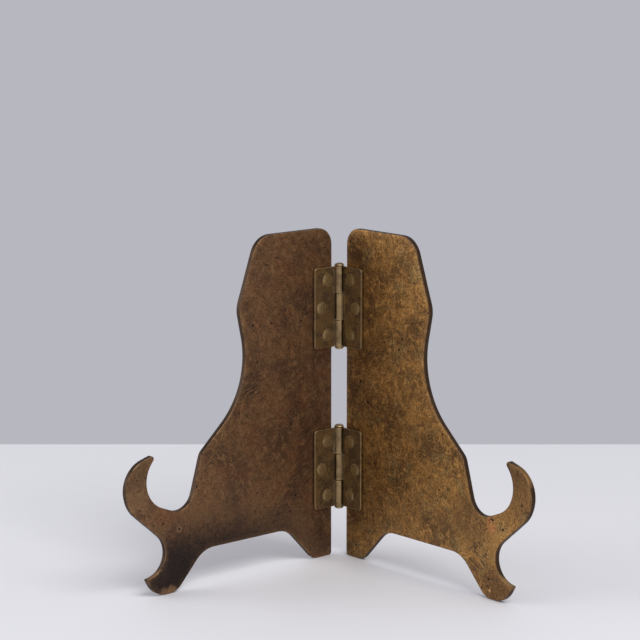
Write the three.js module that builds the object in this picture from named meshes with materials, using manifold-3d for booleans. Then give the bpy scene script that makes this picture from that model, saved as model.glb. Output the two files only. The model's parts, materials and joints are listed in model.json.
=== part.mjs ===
// A folding stand that shows a plate upright. Two flat bronze panels, cut to the same outline, stand
// on edge and open like a book. Each has a front foot, a hook that catches the plate's rim, and an
// upright that the plate leans on. Two riveted brass butt hinges join them down the back.
//
// Millimetres, +Z up. The origin is the centre of the footprint, on the surface the stand rests on.
// The stand faces -Y, and the plane x = 0 lies midway between the panels.

import * as THREE from 'three';
import Module from 'manifold-3d';
import { mergeVertices } from 'three/addons/utils/BufferGeometryUtils.js';

const wasm = await Module();
wasm.setup();

// ---- driving dimensions ----

const SHEET = 2.7; // thickness of each panel
const HALF_OPENING = THREE.MathUtils.degToRad(44.7); // from the centre plane to each panel
const CLEARANCE = 0.3; // gap between neighbouring pieces

const BACK_EDGE = 3.2; // from the hinge pin to a panel's back edge

const HINGE_HEIGHT = 38;
const HINGE_STARTS = { lower: 24, upper: 101 }; // height of each hinge's bottom end
const KNUCKLE_COUNT = 3; // the outer ones belong to the right leaf, the middle one to the left
const LEAF = 1.1; // thickness of a hinge leaf
const LEAF_PARTING = 0.25; // from the plane that the hinge folds on to a leaf's face
const LEAF_EDGES = [3, 15]; // distances from the pin to a leaf's two upright edges
const BARREL_RADIUS = 2.6;
const BORE_RADIUS = 1.5;

const PIN_RADIUS = BORE_RADIUS - CLEARANCE;
const PIN_HEAD = { radius: 2.3, height: 1.3 };

const RIVET_RADIUS = 1.3;
const RIVET_FACE_RADIUS = 2.3; // the sunk end, flush with the leaf
const RIVET_HEAD = { radius: 2.8, height: 1.1 }; // the domed end, outside the panel
// Where the rivets of a leaf are: distance from the pin, and height from the middle of the hinge.
const RIVETS = { low: [7.4, -13], middle: [11, 0], high: [7.4, 13] };

const ARC_STEP = THREE.MathUtils.degToRad(8); // largest turn between two points of an arc
const ARC_LENGTH = 2; // and the largest distance between them
const SIDES = { barrel: 32, rivetHole: 24, pin: 20, rivet: 16 }; // facets round each turned solid
const DOME_STEPS = 3;
const OVERRUN = 1; // how far a cutter passes its cut, and a joined solid enters its neighbour

// The panel's outer face is this far from the plane through the hinge pin, and its inner face nearer
// by the sheet's thickness.
const INNER_FACE = LEAF_PARTING + LEAF + CLEARANCE;
const OUTER_FACE = INNER_FACE + SHEET;

// ---- the panel's outline ----
// The outline is a belt round these circles, followed anticlockwise: it bends round each one and runs
// straight between them. across is the distance from the hinge pin and up the height. A bump is a
// circle of metal, and a hollow is a circle that metal is cut away from.

const bump = (across, up, radius) => ({ across, up, bend: radius });
const hollow = (across, up, radius) => ({ across, up, bend: -radius });

const HEIGHT = 157.4;
const HEAD_RADIUS = 11;
const NAPE_RADIUS = 8;
const CORNER = 1.5;
const ARCH_TOP = 17.1;
const ARCH_RADIUS = 13.4; // at both ends of the arch, which is level between them
const BELLY = { across: 109.05, up: 50, radius: 15.4 }; // the furthest that the panel reaches forward

const OUTLINE = [
  bump(BACK_EDGE + CORNER, CORNER, CORNER), // back foot
  bump(12, 6, 6),
  hollow(36.6, ARCH_TOP - ARCH_RADIUS, ARCH_RADIUS), // back of the arch between the feet
  hollow(75, ARCH_TOP - ARCH_RADIUS, ARCH_RADIUS), // front of the arch
  bump(100.6, 9, 9), // heel of the front foot
  bump(102.3, 11, 11), // ball of the front foot
  bump(112.8, 8.25, 0.5), // toe
  hollow(113.35, 19.4, 10.5), // throat over the toe
  bump(BELLY.across, BELLY.up, BELLY.radius), // belly of the hook
  bump(110.75, 50.3, 13.8), // shoulder of the hook
  bump(110, 63.45, 1.35), // tip of the hook
  hollow(99.25, 52.9, 13.6), // inside of the hook
  hollow(95.5, 46.4, 9), // seat that the plate's rim drops into
  bump(75.55, 57.7, 7), // behind the seat
  hollow(95.75, 102.9, 40), // waist of the upright
  bump(47.05, 124, 12), // back rest, straight from here to the head
  bump(40.25, HEIGHT - HEAD_RADIUS, HEAD_RADIUS), // head
  bump(BACK_EDGE + NAPE_RADIUS, HEIGHT - NAPE_RADIUS, NAPE_RADIUS), // nape, behind the level top
];

// The direction of the straight run from one circle to the next: the line that touches both.
function heading(from, to) {
  const across = to.across - from.across;
  const up = to.up - from.up;
  return Math.atan2(up, across) - Math.asin((to.bend - from.bend) / Math.hypot(across, up));
}

// The points of the belt's arc round one circle, which it meets on heading start and leaves on end.
// It turns left round a bump and right round a hollow.
function arcPoints(circle, start, end) {
  const side = Math.sign(circle.bend);
  const turn = side * THREE.MathUtils.euclideanModulo(side * (end - start), 2 * Math.PI);
  const length = Math.abs(turn * circle.bend);
  const steps = Math.max(1, Math.ceil(Math.abs(turn) / ARC_STEP), Math.ceil(length / ARC_LENGTH));
  return Array.from({ length: steps + 1 }, (_, i) => {
    const direction = start + (turn * i) / steps;
    return new THREE.Vector2(
      circle.across + circle.bend * Math.sin(direction),
      circle.up - circle.bend * Math.cos(direction),
    );
  });
}

function beltPoints(circles) {
  const count = circles.length;
  return circles.flatMap((circle, i) => {
    const before = circles[(i + count - 1) % count];
    const after = circles[(i + 1) % count];
    return arcPoints(circle, heading(before, circle), heading(circle, after));
  });
}

// ---- solids ----

function solidOf(geometry) {
  const bare = geometry.clone();
  bare.deleteAttribute('normal');
  bare.deleteAttribute('uv');
  const merged = mergeVertices(bare);
  return new wasm.Manifold(new wasm.Mesh({
    numProp: 3,
    vertProperties: merged.attributes.position.array,
    triVerts: new Uint32Array(merged.index.array),
  }));
}

function geometryOf(solid) {
  const mesh = solid.getMesh();
  const geometry = new THREE.BufferGeometry();
  geometry.setAttribute('position', new THREE.BufferAttribute(mesh.vertProperties, 3));
  geometry.setIndex(new THREE.BufferAttribute(mesh.triVerts, 1));
  geometry.computeVertexNormals();
  return geometry;
}

// A box between two opposite corners.
function block([x0, y0, z0], [x1, y1, z1]) {
  const box = new THREE.BoxGeometry(x1 - x0, y1 - y0, z1 - z0);
  return box.translate((x0 + x1) / 2, (y0 + y1) / 2, (z0 + z1) / 2);
}

// A solid of revolution about the Y axis, from its profile of [radius, height] points, bottom first.
function turned(profile, sides) {
  return new THREE.LatheGeometry(profile.map(([r, y]) => new THREE.Vector2(r, y)), sides);
}

// Profile points of a dome of this radius and height, from its rim at the given level to its top.
function dome(radius, level, height) {
  return Array.from({ length: DOME_STEPS + 1 }, (_, i) => {
    const angle = (Math.PI / 2) * (i / DOME_STEPS);
    return [i === DOME_STEPS ? 0 : radius * Math.cos(angle), level + height * Math.sin(angle)];
  });
}

// ---- materials ----

const bronze = new THREE.MeshStandardMaterial({ color: 0x5e4834, roughness: 0.5, metalness: 0.9 });
const brass = new THREE.MeshStandardMaterial({ color: 0x8a6a3c, roughness: 0.42, metalness: 0.95 });
const rivetBrass = new THREE.MeshStandardMaterial({ color: 0x7a5c36, roughness: 0.4, metalness: 0.95 });

// ---- pieces ----
// Each side is drawn flat, with X away from the hinge pin, Y up and the pin along the Y axis. outward
// is the sign of Z on the panel's outer side: +1 for the left panel and -1 for the right.

const hingeNames = Object.keys(HINGE_STARTS);
const hingeMiddle = (name) => HINGE_STARTS[name] + HINGE_HEIGHT / 2;

function rivetPlaces(hinge) {
  return Object.entries(RIVETS).map(([name, [across, rise]]) => (
    { name, across, up: hingeMiddle(hinge) + rise }
  ));
}

function panelGeometry(outward) {
  const shape = new THREE.Shape(beltPoints(OUTLINE));
  for (const { across, up } of hingeNames.flatMap(rivetPlaces)) {
    const hole = new THREE.Path();
    hole.absarc(across, up, RIVET_RADIUS + CLEARANCE, 0, 2 * Math.PI);
    shape.holes.push(hole);
  }
  const sheet = new THREE.ExtrudeGeometry(shape, { depth: SHEET, bevelEnabled: false, curveSegments: 8 });
  return sheet.translate(0, 0, outward > 0 ? INNER_FACE : -OUTER_FACE);
}

// The height that knuckle number i takes up, counted from the hinge's bottom end.
function knuckleSpan(hinge, i) {
  const height = (HINGE_HEIGHT - CLEARANCE * (KNUCKLE_COUNT - 1)) / KNUCKLE_COUNT;
  const bottom = HINGE_STARTS[hinge] + i * (height + CLEARANCE);
  return [bottom, bottom + height];
}

// A hinge leaf: a flat plate, and the knuckles that it wraps round the pin.
function leafGeometry(hinge, outward) {
  const [near, far] = [LEAF_PARTING, LEAF_PARTING + LEAF].map((z) => z * outward).sort((a, b) => a - b);
  const bottom = HINGE_STARTS[hinge];
  let leaf = solidOf(block([LEAF_EDGES[0], bottom, near], [LEAF_EDGES[1], bottom + HINGE_HEIGHT, far]));
  const wall = (BARREL_RADIUS + BORE_RADIUS) / 2;
  for (let i = 0; i < KNUCKLE_COUNT; i += 1) {
    const isRight = i % 2 === 0;
    if (isRight !== outward < 0) continue;
    const [low, high] = knuckleSpan(hinge, i);
    const ring = [[BORE_RADIUS, low], [BARREL_RADIUS, low], [BARREL_RADIUS, high], [BORE_RADIUS, high]];
    leaf = leaf.add(solidOf(turned([...ring, ring[0]], SIDES.barrel)));
    leaf = leaf.add(solidOf(block([wall, low, near], [LEAF_EDGES[0] + OVERRUN, high, far])));
  }
  for (const { across, up } of rivetPlaces(hinge)) {
    leaf = leaf.subtract(solidOf(rivetHole(outward).translate(across, up, 0)));
  }
  return geometryOf(leaf);
}

// Turns a solid that stands on the Y axis so that it points along Z, to the outer side.
const layOutward = (geometry, outward) => geometry.rotateX((outward * Math.PI) / 2);

// The cutter for a countersunk hole in a leaf.
function rivetHole(outward) {
  const [face, back] = [LEAF_PARTING, LEAF_PARTING + LEAF];
  const [wide, narrow] = [RIVET_FACE_RADIUS + CLEARANCE, RIVET_RADIUS + CLEARANCE];
  const profile = [
    [0, face - OVERRUN],
    [wide, face - OVERRUN],
    [wide, face],
    [narrow, back],
    [narrow, back + OVERRUN],
    [0, back + OVERRUN],
  ];
  return layOutward(turned(profile, SIDES.rivetHole), outward);
}

function rivetGeometry(outward) {
  const [face, back] = [LEAF_PARTING, LEAF_PARTING + LEAF];
  const head = OUTER_FACE + CLEARANCE;
  const profile = [
    [0, face],
    [RIVET_FACE_RADIUS, face],
    [RIVET_RADIUS, back],
    [RIVET_RADIUS, head],
    ...dome(RIVET_HEAD.radius, head, RIVET_HEAD.height),
  ];
  return layOutward(turned(profile, SIDES.rivet), outward);
}

function pinGeometry(hinge) {
  const bottom = HINGE_STARTS[hinge] - CLEARANCE;
  const top = HINGE_STARTS[hinge] + HINGE_HEIGHT + CLEARANCE;
  const foot = dome(PIN_HEAD.radius, -bottom, PIN_HEAD.height).map(([r, y]) => [r, -y]).reverse();
  const head = dome(PIN_HEAD.radius, top, PIN_HEAD.height);
  return turned([...foot, [PIN_RADIUS, bottom], [PIN_RADIUS, top], ...head], SIDES.pin);
}

// ---- assembly ----

function piece(name, geometry, material) {
  const mesh = new THREE.Mesh(geometry, material);
  mesh.name = name;
  return mesh;
}

function sidePieces(side, outward) {
  const pieces = [piece(`${side}_panel`, panelGeometry(outward), bronze)];
  for (const hinge of hingeNames) {
    pieces.push(piece(`${hinge}_hinge_${side}_leaf`, leafGeometry(hinge, outward), brass));
    for (const { name, across, up } of rivetPlaces(hinge)) {
      const rivet = piece(`${hinge}_hinge_${side}_rivet_${name}`, rivetGeometry(outward), rivetBrass);
      rivet.position.set(across, up, 0);
      pieces.push(rivet);
    }
  }
  return pieces;
}

// Stands flat pieces up on their lower edges and turns them about the hinge pin.
function standing(pieces, turn) {
  const upright = new THREE.Group();
  upright.rotation.x = Math.PI / 2;
  upright.add(...pieces);
  const side = new THREE.Group();
  side.rotation.z = turn;
  side.add(upright);
  return side;
}

const stand = new THREE.Group();
stand.name = 'plate_stand';
stand.add(standing(sidePieces('right', -1), HALF_OPENING - Math.PI / 2));
stand.add(standing(sidePieces('left', 1), -HALF_OPENING - Math.PI / 2));
const pins = hingeNames.map((hinge) => piece(`${hinge}_hinge_pin`, pinGeometry(hinge), brass));
stand.add(standing(pins, 0));

// The hinge barrels are the rearmost thing and the hooks' bellies the foremost, and the origin lies
// midway between.
const reach = (BELLY.across + BELLY.radius) * Math.cos(HALF_OPENING) - INNER_FACE * Math.sin(HALF_OPENING);
stand.position.y = (reach - BARREL_RADIUS) / 2;

export default stand;
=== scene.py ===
"""The looks of a folding bronze plate stand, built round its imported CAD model.

Two patinated bronze panels, their riveted brass hinges and a plain studio. Each piece is rebuilt as a
finer mesh where its CAD node is: the panels with rounded edges and a slightly wavy face, the hinge
leaves with rolled knuckles, and the pins and rivets with smooth hammered heads.
"""

import json
import math

import bmesh
import bpy
import numpy as np
from mathutils import Matrix, Vector, noise
from mathutils.geometry import delaunay_2d_cdt


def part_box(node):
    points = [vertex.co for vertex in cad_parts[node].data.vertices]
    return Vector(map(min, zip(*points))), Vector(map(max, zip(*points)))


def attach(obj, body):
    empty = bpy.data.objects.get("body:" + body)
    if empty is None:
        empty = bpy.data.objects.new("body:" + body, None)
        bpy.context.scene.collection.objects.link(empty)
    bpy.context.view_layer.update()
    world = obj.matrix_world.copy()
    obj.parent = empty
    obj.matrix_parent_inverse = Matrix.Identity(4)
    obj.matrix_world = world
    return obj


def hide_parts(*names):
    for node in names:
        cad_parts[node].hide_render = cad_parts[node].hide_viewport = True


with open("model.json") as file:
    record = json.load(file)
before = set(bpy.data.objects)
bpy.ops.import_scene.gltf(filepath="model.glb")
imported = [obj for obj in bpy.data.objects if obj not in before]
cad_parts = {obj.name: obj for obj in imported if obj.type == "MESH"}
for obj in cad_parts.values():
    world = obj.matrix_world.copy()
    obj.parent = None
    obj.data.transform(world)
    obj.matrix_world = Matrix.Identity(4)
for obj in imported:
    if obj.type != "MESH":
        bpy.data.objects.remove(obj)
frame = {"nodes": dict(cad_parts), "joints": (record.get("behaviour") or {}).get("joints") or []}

MM = 0.001
UP = Vector((0, 0, 1))
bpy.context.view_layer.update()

# ---- the pieces' finish, over the CAD's sizes ----

EDGE_ROUNDING = 0.38 * MM  # of a panel's edges
ROUNDING_STEPS = 4
TIGHT_ROUNDING = 0.6  # the most that a rounding takes of a tight bump's own radius
SMOOTHING_PASSES = 6
OUTLINE_STEP = 1.1 * MM  # spacing of points along a panel's edge
GRID_STEP = 2.2 * MM  # spacing of points over a panel's faces
GRID_CLEARANCE = 0.45  # of a step, between those points and the outline
SHEET_WAVE = 0.03 * MM  # how far a panel's faces stray from flat
WAVE_LENGTH = 17 * MM
EDGE_WANDER = 0.05 * MM  # how far a panel's filed edge strays from its curve
WANDER_LENGTH = 6 * MM
RIM_RUB_AND_HIGHLIGHT = 0.3  # how much of the arris's rubbing and painted highlight reaches the face beside it

# The hinges' sizes that aren't measured from the CAD nodes.
LEAF_NEAR_EDGE = 3 * MM  # from the pin to a leaf's plate, between its knuckles
RIVET_FACE = 2.3 * MM  # radius of a rivet's sunk end
RIVET_SHANK = 1.3 * MM
PIN_RADIUS = 1.3 * MM
PIN_HEAD_HEIGHT = 1.3 * MM

LEAF_CORNER = 1.6 * MM
LEAF_CORNER_POINTS = 7
LEAF_ROUNDING = 0.18 * MM
LEAF_STEP = 0.5 * MM  # spacing of points round a leaf, fine enough to roll its knuckles
LEAF_GRID_STEP = LEAF_STEP * 1.2
LEAF_SHARP = math.radians(35)  # a leaf is shaded as sharp where it turns by more than this
SEAM = math.radians(14)  # gap between a rolled knuckle's end and its leaf
THROAT = 1.5 * MM  # radius of the bend from the leaf up to the knuckle
RIVET_FIT = 0.1 * MM  # gap round a rivet's sunk face
RIVET_HOLE_SIDES = 32
RIVET_BEVEL = 0.4 * MM  # of the sunk face's rim
RIVET_HEAD_GAP = 0.02 * MM  # under the domed head
DOME_STEPS = 7
DOME_LIP = 0.12  # height of a dome's rim, as a share of the dome's
DOME_SEAT = 0.96  # radius of a dome's underside, as a share of the dome's
TURNED_SEGMENTS = 48
TURNED_SHARP = math.radians(50)
HAMMERING = 0.05 * MM
HAMMER_LENGTH = 1.6 * MM  # from one hammer mark to the next

# ---- the panels' own axes ----


class Side:
    """One panel's axes: away from the hinge pin, up, and outward through the sheet."""

    def __init__(self, name):
        self.name = name
        self.body = f"{name}_side"
        joint = frame["joints"][0]
        self.pivot = Vector((joint["pos_m"][0], joint["pos_m"][1], 0))
        panel = frame["nodes"][f"{name}_panel"]
        normal = max(panel.data.polygons, key=lambda face: face.area).normal
        low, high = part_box(panel.name)
        middle = (low + high) / 2 - self.pivot
        self.outward = normal if normal.dot(middle) > 0 else -normal
        across = UP.cross(self.outward)
        self.away = across if across.dot(middle) > 0 else -across
        self.inner_face = self.span(panel.name)[0][2]

    def place(self, away, up, out):
        return self.pivot + self.away * away + UP * up + self.outward * out

    def measure(self, point):
        """(away, up, out) of a point."""
        return (point - self.pivot).dot(self.away), point.z, (point - self.pivot).dot(self.outward)

    def span(self, node):
        """Lowest and highest (away, up, out) of a CAD node."""
        local = np.array([self.measure(v.co) for v in frame["nodes"][node].data.vertices])
        return local.min(0), local.max(0)

    def face_point(self, away, up):
        """The point of the panel's inner face at these millimetres from the pin and up."""
        return self.place(away * MM, up * MM, self.inner_face)

    def turn(self):
        """The angle of the away direction from +X."""
        return math.atan2(self.away.y, self.away.x)


# ---- mesh helpers ----


def mesh_object(name, bm):
    bmesh.ops.recalc_face_normals(bm, faces=bm.faces)
    mesh = bpy.data.meshes.new(name)
    bm.to_mesh(mesh)
    bm.free()
    mesh.shade_smooth()
    piece = bpy.data.objects.new(name, mesh)
    bpy.context.scene.collection.objects.link(piece)
    return piece


def cap_loops(node, side):
    """The closed loops of (away, up) points round the inner face of a CAD sheet, longest loop first."""
    bm = bmesh.new()
    bm.from_mesh(frame["nodes"][node].data)
    bmesh.ops.remove_doubles(bm, verts=bm.verts, dist=1e-6)
    inner = {face for face in bm.faces if face.normal.dot(side.outward) < -0.99}
    after = {}
    for face in inner:
        for loop in face.loops:
            if sum(other in inner for other in loop.edge.link_faces) == 1:
                after[loop.vert] = loop.link_loop_next.vert
    loops = []
    while after:
        vert = next(iter(after))
        points = []
        while vert in after:
            points.append(side.measure(vert.co)[:2])
            vert = after.pop(vert)
        loops.append(np.array(points))
    bm.free()
    loops.sort(key=lambda points: -len(points) * np.ptp(points[:, 1]))
    return loops


def signed_area(points):
    x, y = points.T
    return (x * np.roll(y, -1) - np.roll(x, -1) * y).sum() / 2


def resampled(points, step):
    """The same closed loop, anticlockwise, with points at most a step apart."""
    if signed_area(points) < 0:
        points = points[::-1]
    fine = []
    for start, end in zip(points, np.roll(points, -1, 0)):
        count = math.ceil(round(np.hypot(*(end - start)) / step, 3))
        fine += [start + (end - start) * i / count for i in range(count)]
    return np.array(fine)


def unit(vectors):
    return vectors / np.maximum(np.hypot(*vectors.T), 1e-12)[:, None]


def inward(points):
    """At each point of an anticlockwise loop, the step inward that moves both its edges by one."""
    before = unit(points - np.roll(points, 1, 0))
    after = unit(np.roll(points, -1, 0) - points)
    left = np.stack([-before[:, 1], before[:, 0]], 1) + np.stack([-after[:, 1], after[:, 0]], 1)
    return left / (1 + (before * after).sum(1))[:, None]


def fitted_rounding(points, rounding):
    """The rounding at each point, less where the loop's own bump is too tight for it."""
    before = points - np.roll(points, 1, 0)
    after = np.roll(points, -1, 0) - points
    turn = np.arctan2(before[:, 0] * after[:, 1] - before[:, 1] * after[:, 0], (before * after).sum(1))
    radius = np.hypot(*(before + after).T) / 2 / np.maximum(turn, 1e-6)
    fitted = np.minimum(rounding, TIGHT_ROUNDING * radius)
    for _ in range(SMOOTHING_PASSES):
        fitted = np.minimum(fitted, (np.roll(fitted, 1) + fitted + np.roll(fitted, -1)) / 3)
    return fitted


def wandering(points):
    """The loop with the slight unevenness of an edge filed by hand."""
    shift = [noise.noise(Vector((*point, 0)) / WANDER_LENGTH) for point in points]
    return points + inward(points) * (EDGE_WANDER * (1 + np.array(shift)) / 2)[:, None]


def staggered_grid(loop, step):
    """Points of a staggered grid over a loop's box."""
    low, high = loop.min(0), loop.max(0)
    rows = np.arange(low[1], high[1], step * math.sqrt(3) / 2)
    return np.array([
        (x + (step / 2 if i % 2 else 0), y)
        for i, y in enumerate(rows)
        for x in np.arange(low[0], high[0], step)
    ])


def inside(points, loop):
    """Which points lie inside a closed loop."""
    result = np.zeros(len(points), bool)
    for (x0, y0), (x1, y1) in zip(loop, np.roll(loop, -1, 0)):
        crosses = (y0 > points[:, 1]) != (y1 > points[:, 1])
        with np.errstate(divide="ignore", invalid="ignore"):
            x = x0 + (points[:, 1] - y0) * (x1 - x0) / (y1 - y0)
        result ^= crosses & (points[:, 0] < x)
    return result


def nearest(points, loop):
    """Each point's distance to the nearest point of a loop."""
    gaps = points[:, None, :] - loop[None, :, :]
    return np.hypot(gaps[..., 0], gaps[..., 1]).min(1)


def triangulated(edge, holes, step):
    """Points and triangles that fill a loop, round its holes, with an even grid inside."""
    grid = staggered_grid(edge, step)
    gap = step * GRID_CLEARANCE
    keep = inside(grid, edge) & (nearest(grid, edge) > gap)
    for hole in holes:
        keep &= ~inside(grid, hole) & (nearest(grid, hole) > gap)
    points = np.vstack([edge, *holes, grid[keep]])
    links = []
    first = 0
    for loop in [edge, *holes]:
        links += [(first + i, first + (i + 1) % len(loop)) for i in range(len(loop))]
        first += len(loop)
    scaled = [Vector(point) for point in points / MM]
    filled, _, faces, *_ = delaunay_2d_cdt(scaled, links, [], 1, 1e-5)
    filled = np.array([point[:] for point in filled]) * MM
    middles = np.array([filled[list(face)].mean(0) for face in faces])
    in_hole = np.zeros(len(faces), bool)
    for hole in holes:
        in_hole |= inside(middles, hole)
    return filled, [face for face, drop in zip(faces, in_hole) if not drop]


def wave(away, up):
    return SHEET_WAVE * noise.noise(Vector((away, up, 0)) / WAVE_LENGTH)


def sheet(name, place, loops, faces, rounding, step):
    """A sheet of metal of the given outline and holes, between two faces, with its edge rounded.

    It is drawn flat, and place(away, up, out) says where each of its points goes.
    """
    edge, *holes = loops
    rounds = fitted_rounding(edge, rounding)[:, None]
    steps = inward(edge)
    inner_face, outer_face = faces
    bm = bmesh.new()
    rim = bm.verts.layers.float.new("rim")
    band = bm.verts.layers.float.new("band")

    def vertex(point, out, rubbed=0.0, dark_edge_shade_and_highlights=0.0):
        vert = bm.verts.new(place(*point, out))
        vert[rim] = rubbed
        vert[band] = dark_edge_shade_and_highlights
        return vert

    rings = []
    quarter = [math.pi / 2 * i / ROUNDING_STEPS for i in range(ROUNDING_STEPS + 1)]
    for face_out, sign, angles in ((outer_face, -1, quarter[::-1]), (inner_face, 1, quarter)):
        for angle in angles:
            ring = edge + steps * rounds * (1 - math.cos(angle))
            depth = rounds[:, 0] * (1 - math.sin(angle)) * sign
            # the arris is rubbed and painted with a highlight, and some of that reaches the face beside
            # it
            rubbed = max(math.sin(2 * angle), RIM_RUB_AND_HIGHLIGHT * math.sin(angle))
            # how much the edge band takes of its dark colour, painted shade and painted highlights
            dark_edge_shade_and_highlights = math.cos(angle)
            rings.append([vertex(p, face_out + d, rubbed, dark_edge_shade_and_highlights) for p, d in zip(ring, depth)])
    for one, two in zip(rings, rings[1:]):
        for i in range(len(edge)):
            j = (i + 1) % len(edge)
            bm.faces.new((one[i], one[j], two[j], two[i]))

    cap_edge = edge + steps * rounds
    points, triangles = triangulated(cap_edge, holes, step)
    on_edge = nearest(points, cap_edge) < step / 100
    for out in faces:
        # the face's rim takes a share of the arris's rubbing and painted highlight
        cap = [vertex(p, out, RIM_RUB_AND_HIGHLIGHT * on) for p, on in zip(points, on_edge)]
        for triangle in triangles:
            bm.faces.new([cap[i] for i in triangle])
    for hole in holes:
        walls = [[vertex(p, out) for p in hole] for out in faces]
        for i in range(len(hole)):
            j = (i + 1) % len(hole)
            bm.faces.new((walls[0][i], walls[0][j], walls[1][j], walls[1][i]))
    bmesh.ops.remove_doubles(bm, verts=bm.verts, dist=1e-7)
    return mesh_object(name, bm)


def circle(middle, radius, count):
    angles = np.arange(count) * 2 * math.pi / count
    return np.array(middle) + radius * np.stack([np.cos(angles), np.sin(angles)], 1)


def turned(name, profile, base, axis):
    """A solid of revolution of a profile of (radius, height) points, with heights along the axis."""
    spin = axis.to_track_quat("Z", "Y").to_matrix()
    bm = bmesh.new()
    rings = []
    for radius, height in profile:
        count = TURNED_SEGMENTS if radius > 0 else 1
        angles = [2 * math.pi * i / count for i in range(count)]
        ring = [Vector((radius * math.cos(a), radius * math.sin(a), height)) for a in angles]
        rings.append([bm.verts.new(base + spin @ point) for point in ring])
    for one, two in zip(rings, rings[1:]):
        for i in range(TURNED_SEGMENTS):
            j = i + 1
            corners = [one[i % len(one)], one[j % len(one)], two[j % len(two)], two[i % len(two)]]
            bm.faces.new(list(dict.fromkeys(corners)))
    bmesh.ops.recalc_face_normals(bm, faces=bm.faces)
    bm.normal_update()
    for vert in bm.verts:
        vert.co += vert.normal * HAMMERING * (noise.noise(vert.co / HAMMER_LENGTH) - 0.5)
    piece = mesh_object(name, bm)
    piece.data.set_sharp_from_angle(angle=TURNED_SHARP)
    return piece


def dome(radius, level, height, sign=1):
    """Profile points of a dome, from its rim to its crown, with a small lip at the rim."""
    lip = height * DOME_LIP
    points = [(radius * DOME_SEAT, level)]
    for i in range(DOME_STEPS):
        angle = math.pi / 2 * i / DOME_STEPS
        rise = lip + (height - lip) * math.sin(angle)
        points.append((radius * math.cos(angle), level + sign * rise))
    points.append((0, level + sign * height))
    return points


# ---- pieces ----


def finish_piece(piece, side_body, node, material):
    piece.data.materials.clear()
    piece.data.materials.append(material)
    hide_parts(node)
    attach(piece, side_body)


def make_panel(side, material):
    node = f"{side.name}_panel"
    low, high = side.span(node)
    edge, *holes = cap_loops(node, side)
    edge = wandering(resampled(edge, OUTLINE_STEP))
    faces = (low[2] + SHEET_WAVE, high[2] - SHEET_WAVE)

    def place(away, up, out):
        return side.place(away, up, out + wave(away, up))

    panel = sheet(f"{node}_sheet", place, [edge, *holes], faces, EDGE_ROUNDING, GRID_STEP)
    finish_piece(panel, side.body, node, material)


def knuckle_roll(sizes):
    """How a leaf's tab is rolled round the pin: the place of each point, and the tab's length.

    The tab leaves the leaf's plane, bends up to the barrel and follows it round to the seam.
    """
    middle = (sizes["barrel"] + sizes["bore"]) / 2
    level = sum(sizes["leaf_faces"]) / 2
    start = math.sqrt((THROAT + middle) ** 2 - (level + THROAT) ** 2)
    meet = math.atan2(level + THROAT, start)
    bend = THROAT * (math.pi / 2 - meet)
    round_pin = middle * (2 * math.pi - SEAM - meet)

    def place(away, up, out):
        along = start - away
        if along <= 0:
            return away, up, out
        if along < bend:
            angle = along / THROAT
            reach = THROAT + level - out
            return start - reach * math.sin(angle), up, level + THROAT - reach * math.cos(angle)
        angle = meet + (along - bend) / middle
        reach = middle + out - level
        return reach * math.cos(angle), up, reach * math.sin(angle)

    return place, start - bend - round_pin


def leaf_outline(far, low, high, tabs, tip):
    """The outline of a leaf before its tabs are rolled."""
    near = LEAF_NEAR_EDGE
    points = []
    across = far - LEAF_CORNER
    for up, start in ((low + LEAF_CORNER, -math.pi / 2), (high - LEAF_CORNER, 0)):
        angles = np.linspace(start, start + math.pi / 2, LEAF_CORNER_POINTS)
        points += [(across + LEAF_CORNER * math.cos(a), up + LEAF_CORNER * math.sin(a)) for a in angles]
    points.append((near, high))
    for bottom, top in tabs[::-1]:
        points += [(near, top), (tip, top), (tip, bottom), (near, bottom)]
    points.append((near, low))
    return np.array(points)


def make_leaf(side, hinge, tabs, rivets, sizes, material):
    node = f"{hinge}_hinge_{side.name}_leaf"
    low, high = side.span(node)
    rolled, tip = knuckle_roll(sizes)
    edge = resampled(leaf_outline(high[0], low[1], high[1], tabs, tip), LEAF_STEP)
    holes = [circle(rivet, RIVET_FACE + RIVET_FIT, RIVET_HOLE_SIDES) for rivet in rivets]

    def place(away, up, out):
        return side.place(*rolled(away, up, out))

    loops = [edge, *holes]
    leaf = sheet(f"{node}_rolled", place, loops, sizes["leaf_faces"], LEAF_ROUNDING, LEAF_GRID_STEP)
    leaf.data.set_sharp_from_angle(angle=LEAF_SHARP)
    finish_piece(leaf, side.body, node, material)


def make_rivet(side, node, sizes, material):
    low, high = side.span(node)
    away, up, _ = (low + high) / 2
    head = (high[0] - low[0]) / 2
    face, crown = low[2], high[2]
    panel_face = side.span(f"{side.name}_panel")[1][2]
    profile = [
        (0, face),
        (RIVET_FACE - RIVET_BEVEL, face),
        (RIVET_FACE, face + RIVET_BEVEL / 2),
        (RIVET_SHANK, sizes["leaf_faces"][1]),
        (RIVET_SHANK, panel_face),
    ]
    profile += dome(head, panel_face + RIVET_HEAD_GAP, crown - panel_face)
    rivet = turned(f"{node}_head", profile, side.place(away, up, 0), side.outward)
    finish_piece(rivet, side.body, node, material)


def make_pin(hinge, body, material):
    node = f"{hinge}_hinge_pin"
    low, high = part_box(node)
    middle = (low + high) / 2
    head = (high.x - low.x) / 2
    bottom, top = low.z + PIN_HEAD_HEIGHT, high.z - PIN_HEAD_HEIGHT
    profile = dome(head, bottom, PIN_HEAD_HEIGHT, sign=-1)[::-1]
    profile += [(PIN_RADIUS, bottom), (PIN_RADIUS, top)]
    profile += dome(head, top, PIN_HEAD_HEIGHT)
    pin = turned(f"{node}_turned", profile, Vector((middle.x, middle.y, 0)), UP)
    finish_piece(pin, body, node, material)


# ---- materials ----

# A Mix node has sockets for several kinds of data. These are the places of its colours.
MIXED_COLOURS = (6, 7)
MIX_RESULT = 2

PATTERN_TURN = (0.55, 0.83, 0.37)  # how far every pattern is turned about X, Y and Z, in radians
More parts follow.
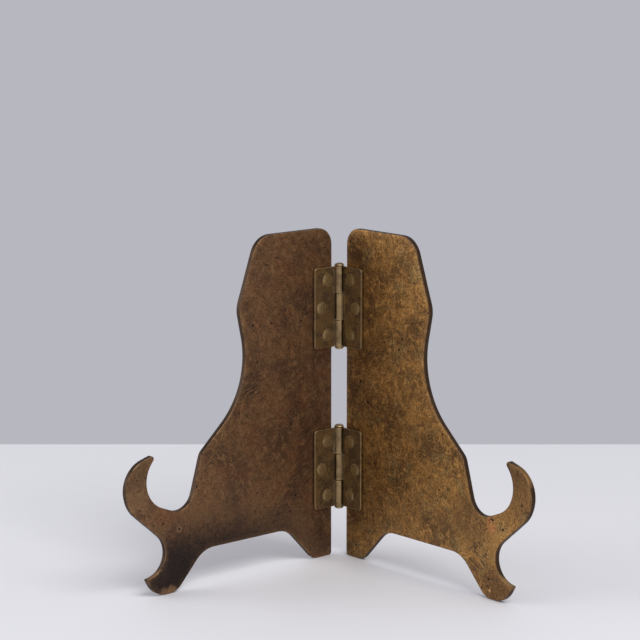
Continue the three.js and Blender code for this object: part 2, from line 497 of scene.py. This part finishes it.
# Each noise pattern's cycles per metre, detail, roughness and distortion.
NOISE = {
    "clouds": (52, 4, 0.55, 0.4),
    "hues": (120, 4, 0.6, 0.6),
    "mottle": (330, 6, 0.72, 0.5),
    "grain": (1150, 4, 0.75, 0),
    "pit clusters": (62, 2, 0.5, 0),
    "stray nicks": (60, 2, 0.5, 0),
    "lines": (1, 2, 0.5, 0),
    "brass clouds": (150, 5, 0.6, 0.3),
    "brass grain": (1100, 3, 0.6, 0),
    "table mottle": (9, 3, 0.5, 0),
    "table grain": (900, 2, 0.5, 0),
}
# Fine lines: their tilt from the level, length and width, and the noise's level at their rim and middle.
LINES = {
    "level scratch": (math.radians(4), 9 * MM, 0.35 * MM, 0.6, 0.7),
    "steep scratch": (math.radians(80), 8 * MM, 0.4 * MM, 0.6, 0.7),
    "nick": (math.radians(-30), 4.5 * MM, 0.8 * MM, 0.56, 0.61),
}
# Pits: cells per metre, the share of cells that hold one, and their smallest and largest radius in cells.
PITS = {
    "large": (400, 0.14, 0.13, 0.28),
    "small": (950, 0.18, 0.14, 0.34),
    "brass": (700, 0.18, 0.12, 0.32),
}
PIT_RAGGED = {"bronze": 0.35 * MM, "brass": 0.3 * MM}  # how far the pits' rims stray
PIT_RAGGED_SCALE = 1500  # and in how many cycles per metre
BRONZE_METALLIC = 0.78
BRASS_METALLIC = 0.9
# How much of its colour each mark takes: soot in the marks, and on the edges their own dark colour with
# painted shade.
NICK_SOOT = 0.75
PIT_SOOT = 0.9
BRASS_PIT_SOOT = 0.6
DARK_EDGE_AND_SHADE_SHARE = 0.92
# How deep each kind of unevenness is.
MOTTLE_DEPTH = 0.08 * MM
GRAIN_DEPTH = 0.03 * MM
DENT_DEPTH = 0.1 * MM
BRASS_GRAIN_DEPTH = 0.025 * MM
BRASS_PIT_DEPTH = 0.08 * MM
TABLE_GRAIN_DEPTH = 0.02 * MM


class Finish:
    """A material, with short ways to add the nodes that these metals are painted with."""

    def __init__(self, name, metallic):
        self.material = bpy.data.materials.new(name)
        self.material.use_nodes = True
        self.tree = self.material.node_tree
        self.shader = next(n for n in self.tree.nodes if n.type == "BSDF_PRINCIPLED")
        self.shader.inputs["Metallic"].default_value = metallic
        coordinates = self.tree.nodes.new("ShaderNodeTexCoord")
        self.place = coordinates.outputs["Object"]

    def feed(self, node, name, value):
        socket = node.inputs[name]
        if isinstance(value, bpy.types.NodeSocket):
            self.tree.links.new(value, socket)
        else:
            socket.default_value = value

    def along(self, turn):
        """The object's coordinates, turned about the vertical so that X runs along the panel."""
        node = self.tree.nodes.new("ShaderNodeVectorRotate")
        node.rotation_type = "Z_AXIS"
        self.feed(node, "Vector", self.place)
        self.feed(node, "Angle", -turn)
        return node.outputs["Vector"]

    def askew(self, shift):
        """The object's coordinates, shifted and turned so that no pattern's grid lines up with a face."""
        node = self.tree.nodes.new("ShaderNodeMapping")
        self.feed(node, "Vector", self.place)
        self.feed(node, "Location", shift)
        self.feed(node, "Rotation", PATTERN_TURN)
        return node.outputs["Vector"]

    def tilted(self, place, tilt, scale):
        """Coordinates turned about the sheet's own normal, and then scaled."""
        turned_place = self.tree.nodes.new("ShaderNodeVectorRotate")
        turned_place.rotation_type = "Y_AXIS"
        self.feed(turned_place, "Vector", place)
        self.feed(turned_place, "Angle", tilt)
        scaled = self.tree.nodes.new("ShaderNodeMapping")
        self.feed(scaled, "Vector", turned_place.outputs["Vector"])
        self.feed(scaled, "Scale", scale)
        return scaled.outputs["Vector"]

    def vector(self, operation, one, two):
        node = self.tree.nodes.new("ShaderNodeVectorMath")
        node.operation = operation
        self.feed(node, 0, one)
        self.feed(node, 1, two)
        return node.outputs["Value" if operation == "DISTANCE" else "Vector"]

    def shaken(self, place, amount, scale):
        """Coordinates moved about by noise, so that what is drawn on them is ragged."""
        node = self.tree.nodes.new("ShaderNodeTexNoise")
        self.feed(node, "Vector", place)
        self.feed(node, "Scale", scale)
        offset = self.vector("MULTIPLY", node.outputs["Color"], (amount, amount, amount))
        return self.vector("ADD", place, offset)

    def spot(self, centre, radius, ragged):
        """A patch of the given radius about a point, which fades out from its middle."""
        distance = self.vector("DISTANCE", self.place, centre)
        border = self.between(ragged, 0.3, 0.7, 0.75, 1.2)
        reach = self.math("DIVIDE", distance, self.math("MULTIPLY", border, radius))
        return self.between(reach, 0.35, 1.0, 1, 0)

    def noise(self, place, pattern):
        scale, detail, roughness, distortion = NOISE[pattern]
        node = self.tree.nodes.new("ShaderNodeTexNoise")
        self.feed(node, "Vector", place)
        self.feed(node, "Scale", scale)
        self.feed(node, "Detail", detail)
        self.feed(node, "Roughness", roughness)
        self.feed(node, "Distortion", distortion)
        return node.outputs["Fac"]

    def cells(self, place, scale):
        """Distance from the middle of the nearest cell, and two random numbers of that cell's."""
        node = self.tree.nodes.new("ShaderNodeTexVoronoi")
        self.feed(node, "Vector", place)
        self.feed(node, "Scale", scale)
        split = self.tree.nodes.new("ShaderNodeSeparateColor")
        self.feed(split, "Color", node.outputs["Color"])
        return node.outputs["Distance"], split.outputs["Red"], split.outputs["Green"]

    def between(self, value, low, high, bottom=0.0, top=1.0):
        """The value's place between low and high, clamped, as a number from bottom to top."""
        node = self.tree.nodes.new("ShaderNodeMapRange")
        node.interpolation_type = "SMOOTHSTEP"
        self.feed(node, "Value", value)
        for name, number in (("From Min", low), ("From Max", high), ("To Min", bottom), ("To Max", top)):
            self.feed(node, name, number)
        return node.outputs["Result"]

    def math(self, operation, one, two):
        node = self.tree.nodes.new("ShaderNodeMath")
        node.operation = operation
        self.feed(node, 0, one)
        self.feed(node, 1, two)
        return node.outputs["Value"]

    def blend(self, amount, one, two):
        """Colour one, going over to colour two as the amount goes from 0 to 1."""
        node = self.tree.nodes.new("ShaderNodeMix")
        node.data_type = "RGBA"
        self.feed(node, "Factor", amount)
        for socket, colour in zip(MIXED_COLOURS, (one, two)):
            self.feed(node, socket, (*colour, 1) if isinstance(colour, tuple) else colour)
        return node.outputs[MIX_RESULT]

    def scaled(self, colour, factor):
        """A colour made darker or brighter by a factor."""
        node = self.tree.nodes.new("ShaderNodeVectorMath")
        node.operation = "SCALE"
        self.feed(node, "Vector", colour)
        self.feed(node, "Scale", factor)
        return node.outputs["Vector"]

    def attribute(self, name):
        node = self.tree.nodes.new("ShaderNodeAttribute")
        node.attribute_name = name
        return node.outputs["Fac"]

    def bump(self, height, distance, strength, normal=None):
        node = self.tree.nodes.new("ShaderNodeBump")
        self.feed(node, "Height", height)
        self.feed(node, "Distance", distance)
        self.feed(node, "Strength", strength)
        if normal is not None:
            self.feed(node, "Normal", normal)
        return node.outputs["Normal"]


# Each panel's bronze: its usual tone, where it is worn lighter or gone darker or painted lighter or
# darker, and a tinge in places.
BRONZE = {
    "right": {
        "base": (0.275, 0.14, 0.041),
        "light": (0.41, 0.22, 0.068),
        "dark": (0.13, 0.066, 0.024),
        "tinge": (0.19, 0.135, 0.055),
    },
    # Painted shade: the left panel's tones are all darker than the right's, for the shade that it stands
    # in.
    "left": {
        "base": (0.185, 0.098, 0.045),
        "light": (0.25, 0.135, 0.062),
        "dark": (0.11, 0.06, 0.033),
        "tinge": (0.2, 0.086, 0.038),
    },
}
COPPER = (0.46, 0.15, 0.06)
GOLD = (0.75, 0.46, 0.17)
TAN = (0.34, 0.19, 0.09)
# Soot in the pits and nicks, and also the colour of painted shadow.
SOOT_AND_SHADE = (0.018, 0.013, 0.0125)
DARK_EDGE_AND_SHADE = (0.036, 0.023, 0.015)  # the edges' own dark colour, made darker still as painted shade

# Patches on each panel's faces, some worn or stained, some plainly darker or lighter, and some painted
# shade:
# and for each, distance from the pin, height and radius in mm, colour, and how much of that colour.
PATCHES = {
    "right": [
        (96, 27, 21, BRONZE["right"]["light"], 0.35),
        (117, 60, 27, BRONZE["right"]["dark"], 0.75),
        (113, 66, 16, SOOT_AND_SHADE, 0.35),
        (106, 5, 15, BRONZE["right"]["dark"], 0.85),
        # Painted shadow: the body darker towards the hinge.
        (88, 34, 17, BRONZE["right"]["dark"], 0.6),
        (99.8, 32.9, 4, COPPER, 0.35),
        (99.2, 36.5, 2.6, COPPER, 0.35),
        (99.5, 4, 1.1, GOLD, 0.5),
        (122, 43.5, 3, SOOT_AND_SHADE, 0.3),
        (118.6, 46.5, 1, SOOT_AND_SHADE, 0.95),
        (122.7, 44.1, 0.9, SOOT_AND_SHADE, 0.9),
        (122, 42, 0.8, SOOT_AND_SHADE, 0.85),
        (99.9, 37, 0.9, SOOT_AND_SHADE, 0.85),
        (106.5, 36.1, 0.7, SOOT_AND_SHADE, 0.8),
        (96.9, 20.1, 1, SOOT_AND_SHADE, 0.9),
        (97.6, 22, 0.7, SOOT_AND_SHADE, 0.7),
    ],
    "left": [
        (100, 39, 12, BRONZE["left"]["tinge"], 0.6),
        # Painted shadow: the foot and the bottom of the sheet darkened, fading out towards the hinge.
        (38, 4, 32, SOOT_AND_SHADE, 0.5),
        (62, 7, 33, SOOT_AND_SHADE, 0.7),
        (84, 5, 35, SOOT_AND_SHADE, 0.78),
        (102, 10, 25, SOOT_AND_SHADE, 0.75),
        (105, 0, 12, SOOT_AND_SHADE, 0.4),
        (103.5, 0.2, 4.4, TAN, 0.5),
        (99.5, 0.4, 4.4, TAN, 0.6),
        (95, 29, 2.2, TAN, 0.45),
        (95, 29, 1.1, SOOT_AND_SHADE, 0.85),
        (96, 8, 1, SOOT_AND_SHADE, 0.8),
        (118, 52, 13, BRONZE["right"]["tinge"], 0.2),
        (119, 54, 19, BRONZE["left"]["dark"], 0.35),
        (119, 46, 9, TAN, 0.25),
    ],
}
# Painted highlights on each panel's edge, given the same way.
EDGE_HIGHLIGHTS = {
    "right": [(119, 61, 9, BRONZE["right"]["light"], 0.5), (110, 10.5, 5.5, GOLD, 0.4)],
    "left": [(109.5, 11, 6, TAN, 0.6)],
}
# Where each panel was knocked: distance from the pin, height and radius in mm.
NICKED = {"right": (91, 17.5, 11), "left": (52, 88, 9)}
SCRATCHED = {"right": 0.5, "left": 0.15}  # how bright each panel's scratches are
RUBBED_AND_HIGHLIT = {"right": 0.45, "left": 0.7}  # how far its arrises are rubbed bright and painted with a highlight
GRAIN = {"right": (0.62, 1.45), "left": (0.78, 1.25)}  # how dark and how bright its fine grain goes

# Where each material's pattern starts, so that no two of them show the same part of it.
PATTERN_SHIFT = {
    "right": (0.02, 0.4, 0.11),
    "left": (0.31, 0.17, 0.05),
    "leaf": (3, 1, 2),
    "rivet": (1, 5, 2),
    "pin": (2, 3, 7),
}


def patch(finish, side, away, up, radius, ragged):
    """A patch of a panel's inner face, given in mm: 1 in its middle, fading to 0 round it."""
    return finish.spot(side.face_point(away, up), radius * MM, ragged)


def fine_lines(finish, side, kind):
    """Fine lines on a panel's faces: 1 on a line and 0 beside it."""
    tilt, length, width, low, high = LINES[kind]
    lines = finish.tilted(finish.along(side.turn()), tilt, (1 / length, 1 / width, 1 / width))
    return finish.between(finish.noise(lines, "lines"), low, high)


def pits(finish, place, kind):
    """Pits: 1 in a pit and 0 round it."""
    scale, share, small, large = PITS[kind]
    distance, chance, size = finish.cells(place, scale)
    pit = finish.math("LESS_THAN", distance, finish.between(size, 0, 1, small, large))
    return finish.math("MULTIPLY", pit, finish.math("LESS_THAN", chance, share))


def nicks(finish, side, plain, mottle):
    """Short slanting knocks, thick in one place and here and there elsewhere."""
    lines = fine_lines(finish, side, "nick")
    knocked = patch(finish, side, *NICKED[side.name], mottle)
    elsewhere = finish.between(finish.noise(plain, "stray nicks"), 0.6, 0.66, 0, 0.6)
    return finish.math("MULTIPLY", lines, finish.math("MAXIMUM", knocked, elsewhere))


def clustered_pits(finish, plain):
    """Large and small ragged pits, stronger in some places than in others."""
    ragged = finish.shaken(plain, PIT_RAGGED["bronze"], PIT_RAGGED_SCALE)
    large = pits(finish, ragged, "large")
    small = pits(finish, ragged, "small")
    clustered = finish.between(finish.noise(plain, "pit clusters"), 0.42, 0.56, 0.1, 1)
    return finish.math("MULTIPLY", finish.math("MAXIMUM", large, small), clustered)


def bronze_tones(finish, side, plain, mottle):
    """The panel's colour before it was knocked about: cloudy, mottled and stained, with painted shade in
    places.
    """
    tones = BRONZE[side.name]
    clouds = finish.noise(plain, "clouds")
    hue = finish.noise(plain, "hues")
    colour = finish.blend(finish.between(clouds, 0.34, 0.6), tones["dark"], tones["base"])
    colour = finish.blend(finish.between(hue, 0.35, 0.5, 0.55, 0), colour, tones["tinge"])
    colour = finish.blend(finish.between(mottle, 0.5, 0.64, 0, 0.75), colour, tones["light"])
    colour = finish.blend(finish.between(mottle, 0.36, 0.5, 0.65, 0), colour, tones["dark"])
    for *where, tint, amount in PATCHES[side.name]:
        cover = finish.math("MULTIPLY", patch(finish, side, *where, mottle), amount)
        colour = finish.blend(cover, colour, tint)
    return colour


def scratched(finish, side, colour, grain):
    """The colour with its fine grain, and bright scratches that run along the panel and up it."""
    level = fine_lines(finish, side, "level scratch")
    steep = fine_lines(finish, side, "steep scratch")
    bright = finish.math("MULTIPLY", finish.math("MAXIMUM", level, steep), SCRATCHED[side.name])
    grainy = finish.between(grain, 0.38, 0.62, *GRAIN[side.name])
    return finish.scaled(colour, finish.math("ADD", bright, grainy))


def dark_edge_shade_and_highlights(finish, side, colour, band, mottle):
    """The colour with the panel's edge band darkened, partly its own dark colour and partly painted
    shade, with painted highlights on it in places.
    """
    # the edge band's own dark colour, with painted shade
    colour = finish.blend(finish.math("MULTIPLY", band, DARK_EDGE_AND_SHADE_SHARE), colour, DARK_EDGE_AND_SHADE)
    # painted highlights on the edge band
    for *where, tint, amount in EDGE_HIGHLIGHTS[side.name]:
        cover = finish.math("MULTIPLY", patch(finish, side, *where, mottle), band)
        colour = finish.blend(finish.math("MULTIPLY", cover, amount), colour, tint)
    return colour


def patinated_bronze(side):
    """Brown patina on sheet bronze: mottled, stained, scratched and pitted, with painted shade, painted
    highlights, and arrises rubbed and painted bright.
    """
    finish = Finish(f"{side.name}_bronze", BRONZE_METALLIC)
    plain = finish.askew(PATTERN_SHIFT[side.name])
    mottle = finish.noise(plain, "mottle")
    grain = finish.noise(plain, "grain")
    nick = nicks(finish, side, plain, mottle)
    pit = clustered_pits(finish, plain)
    band = finish.attribute("band")
    # how far the arrises are rubbed, and painted with a highlight
    rubbed = finish.between(mottle, 0.38, 0.6, 0.1, RUBBED_AND_HIGHLIT[side.name])
    rim = finish.math("MULTIPLY", finish.attribute("rim"), rubbed)

    colour = bronze_tones(finish, side, plain, mottle)
    colour = scratched(finish, side, colour, grain)
    colour = finish.blend(finish.math("MULTIPLY", nick, NICK_SOOT), colour, SOOT_AND_SHADE)
    colour = finish.blend(finish.math("MULTIPLY", pit, PIT_SOOT), colour, SOOT_AND_SHADE)
    colour = dark_edge_shade_and_highlights(finish, side, colour, band, mottle)
    # the arrises rubbed bright, with a painted highlight
    colour = finish.blend(rim, colour, TAN)
    finish.feed(finish.shader, "Base Color", colour)

    rough = finish.between(mottle, 0.35, 0.7, 0.42, 0.55)
    rough = finish.math("ADD", rough, finish.math("MULTIPLY", pit, 0.25))
    rough = finish.math("SUBTRACT", rough, finish.math("MULTIPLY", rim, 0.15))
    finish.feed(finish.shader, "Roughness", rough)
    finish.feed(finish.shader, "Specular IOR Level", finish.between(band, 0, 1, 0.35, 0.15))

    normal = finish.bump(mottle, MOTTLE_DEPTH, 0.5)
    normal = finish.bump(grain, GRAIN_DEPTH, 0.6, normal)
    dents = finish.math("ADD", finish.math("MULTIPLY", pit, -1.0), finish.math("MULTIPLY", nick, -0.6))
    normal = finish.bump(dents, DENT_DEPTH, 0.8, normal)
    finish.feed(finish.shader, "Normal", normal)
    return finish.material


# The hinges' brass: its usual tone, where it has gone brown, where it is rubbed, and its roughness.
BRASS = {
    "leaf": {
        "base": (0.3, 0.2, 0.095),
        "brown": (0.13, 0.085, 0.045),
        "rubbed": (0.55, 0.4, 0.2),
        "rough": 0.4,
    },
    "rivet": {
        "base": (0.27, 0.18, 0.09),
        "brown": (0.12, 0.078, 0.042),
        "rubbed": (0.5, 0.36, 0.18),
        "rough": 0.4,
    },
    "pin": {
        "base": (0.34, 0.23, 0.11),
        "brown": (0.15, 0.1, 0.05),
        "rubbed": (0.58, 0.43, 0.22),
        "rough": 0.34,
    },
}


def aged_brass(piece):
    """Brass that has gone brown in clouds, pitted, and been rubbed on its high spots."""
    tones = BRASS[piece]
    finish = Finish(f"{piece}_brass", BRASS_METALLIC)
    plain = finish.askew(PATTERN_SHIFT[piece])
    clouds = finish.noise(plain, "brass clouds")
    colour = finish.blend(finish.between(clouds, 0.38, 0.62), tones["brown"], tones["base"])
    grain = finish.noise(plain, "brass grain")
    colour = finish.blend(finish.between(grain, 0.52, 0.72, 0, 0.5), colour, tones["rubbed"])
    pit = pits(finish, finish.shaken(plain, PIT_RAGGED["brass"], PIT_RAGGED_SCALE), "brass")
    colour = finish.blend(finish.math("MULTIPLY", pit, BRASS_PIT_SOOT), colour, SOOT_AND_SHADE)
    geometry = finish.tree.nodes.new("ShaderNodeNewGeometry")
    worn = finish.between(geometry.outputs["Pointiness"], 0.505, 0.56, 0, 0.65)
    worn = finish.math("MAXIMUM", worn, finish.math("MULTIPLY", finish.attribute("rim"), 0.5))
    colour = finish.blend(worn, colour, tones["rubbed"])
    finish.feed(finish.shader, "Base Color", colour)
    rough = tones["rough"]
    rough = finish.between(clouds, 0.35, 0.65, rough + 0.12, rough - 0.06)
    finish.feed(finish.shader, "Roughness", rough)
    normal = finish.bump(grain, BRASS_GRAIN_DEPTH, 0.6)
    normal = finish.bump(finish.math("MULTIPLY", pit, -1.0), BRASS_PIT_DEPTH, 0.8, normal)
    finish.feed(finish.shader, "Normal", normal)
    return finish.material


# ---- studio ----

CAMERA_AIM = Vector((-9.2, 44.7, 112.8)) * MM  # a point over the hinge, at the middle of a plate
CAMERA_AZIMUTH = math.radians(3.72)
CAMERA_ELEVATION = math.radians(10.09)
CAMERA_DISTANCE = 1.1
CAMERA_LENS = 131.7

TABLE_BACK = 0.272  # the table's far edge, square to the camera
TABLE_FRONT = -2.4
TABLE_HALF_WIDTH = 1.28
TABLE_CUTS = 7
TABLE_TONES = ((0.75, 0.75, 0.765), (0.79, 0.79, 0.805))
TABLE_ROUGHNESS = 0.6
BACKDROP = (0.474, 0.475, 0.522, 1)
# Each soft light's place, the point it faces, its width and height in metres, and its power in watts.
LIGHTS = {
    "side": ((-1.3, -0.1, 0.42), (0, 0, 0.08), (1.3, 0.8), 9),
    "top": ((0.75, -0.9, 1.4), (0.1, -0.1, 0), (1.2, 1.0), 20),
}


def make_camera():
    data = bpy.data.cameras.new("camera")
    data.lens = CAMERA_LENS
    camera = bpy.data.objects.new("camera", data)
    back = Vector((
        math.sin(CAMERA_AZIMUTH) * math.cos(CAMERA_ELEVATION),
        -math.cos(CAMERA_AZIMUTH) * math.cos(CAMERA_ELEVATION),
        math.sin(CAMERA_ELEVATION),
    ))
    camera.location = CAMERA_AIM + back * CAMERA_DISTANCE
    camera.rotation_euler = back.to_track_quat("Z", "Y").to_euler()
    bpy.context.scene.collection.objects.link(camera)
    bpy.context.scene.camera = camera


def make_table():
    bm = bmesh.new()
    corners = [
        (-TABLE_HALF_WIDTH, TABLE_FRONT), (TABLE_HALF_WIDTH, TABLE_FRONT),
        (TABLE_HALF_WIDTH, TABLE_BACK), (-TABLE_HALF_WIDTH, TABLE_BACK),
    ]
    bm.faces.new([bm.verts.new((x, y, 0)) for x, y in corners])
    bmesh.ops.subdivide_edges(bm, edges=bm.edges, cuts=TABLE_CUTS, use_grid_fill=True)
    bmesh.ops.rotate(bm, verts=bm.verts, matrix=Matrix.Rotation(CAMERA_AZIMUTH, 3, "Z"))
    table = mesh_object("table", bm)
    finish = Finish("table_paint", 0.0)
    mottle = finish.noise(finish.place, "table mottle")
    finish.feed(finish.shader, "Base Color", finish.blend(mottle, *TABLE_TONES))
    finish.feed(finish.shader, "Roughness", TABLE_ROUGHNESS)
    grain = finish.noise(finish.place, "table grain")
    finish.feed(finish.shader, "Normal", finish.bump(grain, TABLE_GRAIN_DEPTH, 0.3))
    table.data.materials.append(finish.material)


def make_world():
    world = bpy.data.worlds.new("studio")
    world.use_nodes = True
    background = world.node_tree.nodes["Background"]
    background.inputs["Color"].default_value = BACKDROP
    background.inputs["Strength"].default_value = 1.0
    bpy.context.scene.world = world


def soft_light(name, place, aim, size, power):
    data = bpy.data.lights.new(name, "AREA")
    data.shape = "RECTANGLE"
    data.size, data.size_y = size
    data.energy = power
    light = bpy.data.objects.new(name, data)
    light.location = place
    light.rotation_euler = (Vector(place) - Vector(aim)).to_track_quat("Z", "Y").to_euler()
    light.visible_camera = False
    bpy.context.scene.collection.objects.link(light)


def make_studio():
    make_camera()
    make_table()
    make_world()
    for name, light in LIGHTS.items():
        soft_light(name, *light)
    bpy.context.scene.view_settings.view_transform = "Standard"


# ---- the stand ----


def hinge_sizes(side):
    """The faces of the hinge leaves, and the radii inside and outside their knuckles, from the CAD."""
    leaf = f"lower_hinge_{side.name}_leaf"
    local = [side.measure(v.co) for v in frame["nodes"][leaf].data.vertices]
    plate = [out for away, _, out in local if away > 2 * LEAF_NEAR_EDGE]
    inner_face, outer_face = min(plate), max(plate)
    barrel = max(-away for away, _, _ in local)
    return {
        "leaf_faces": (inner_face, outer_face),
        "barrel": barrel,
        "bore": barrel - (outer_face - inner_face),
    }


def knuckle_spans(sides, hinge):
    """The heights that each leaf's knuckles take up."""
    spans = {}
    for name, side in sides.items():
        mesh = frame["nodes"][f"{hinge}_hinge_{name}_leaf"].data
        local = [side.measure(v.co) for v in mesh.vertices]
        levels = sorted({round(up / MM, 2) for away, up, _ in local if away < 0})
        spans[name] = [(low * MM, high * MM) for low, high in zip(levels[::2], levels[1::2])]
    return spans


def make_stand():
    sides = {name: Side(name) for name in ("left", "right")}
    sizes = hinge_sizes(sides["right"])
    brass = {piece: aged_brass(piece) for piece in BRASS}
    for side in sides.values():
        make_panel(side, patinated_bronze(side))
    for hinge in ("lower", "upper"):
        tabs = knuckle_spans(sides, hinge)
        for name, side in sides.items():
            prefix = f"{hinge}_hinge_{name}_rivet_"
            rivets = []
            for node in sorted(node for node in frame["nodes"] if node.startswith(prefix)):
                low, high = side.span(node)
                rivets.append(((low[0] + high[0]) / 2, (low[1] + high[1]) / 2))
                make_rivet(side, node, sizes, brass["rivet"])
            make_leaf(side, hinge, tabs[name], rivets, sizes, brass["leaf"])
        make_pin(hinge, "right_side", brass["pin"])


make_studio()
make_stand()
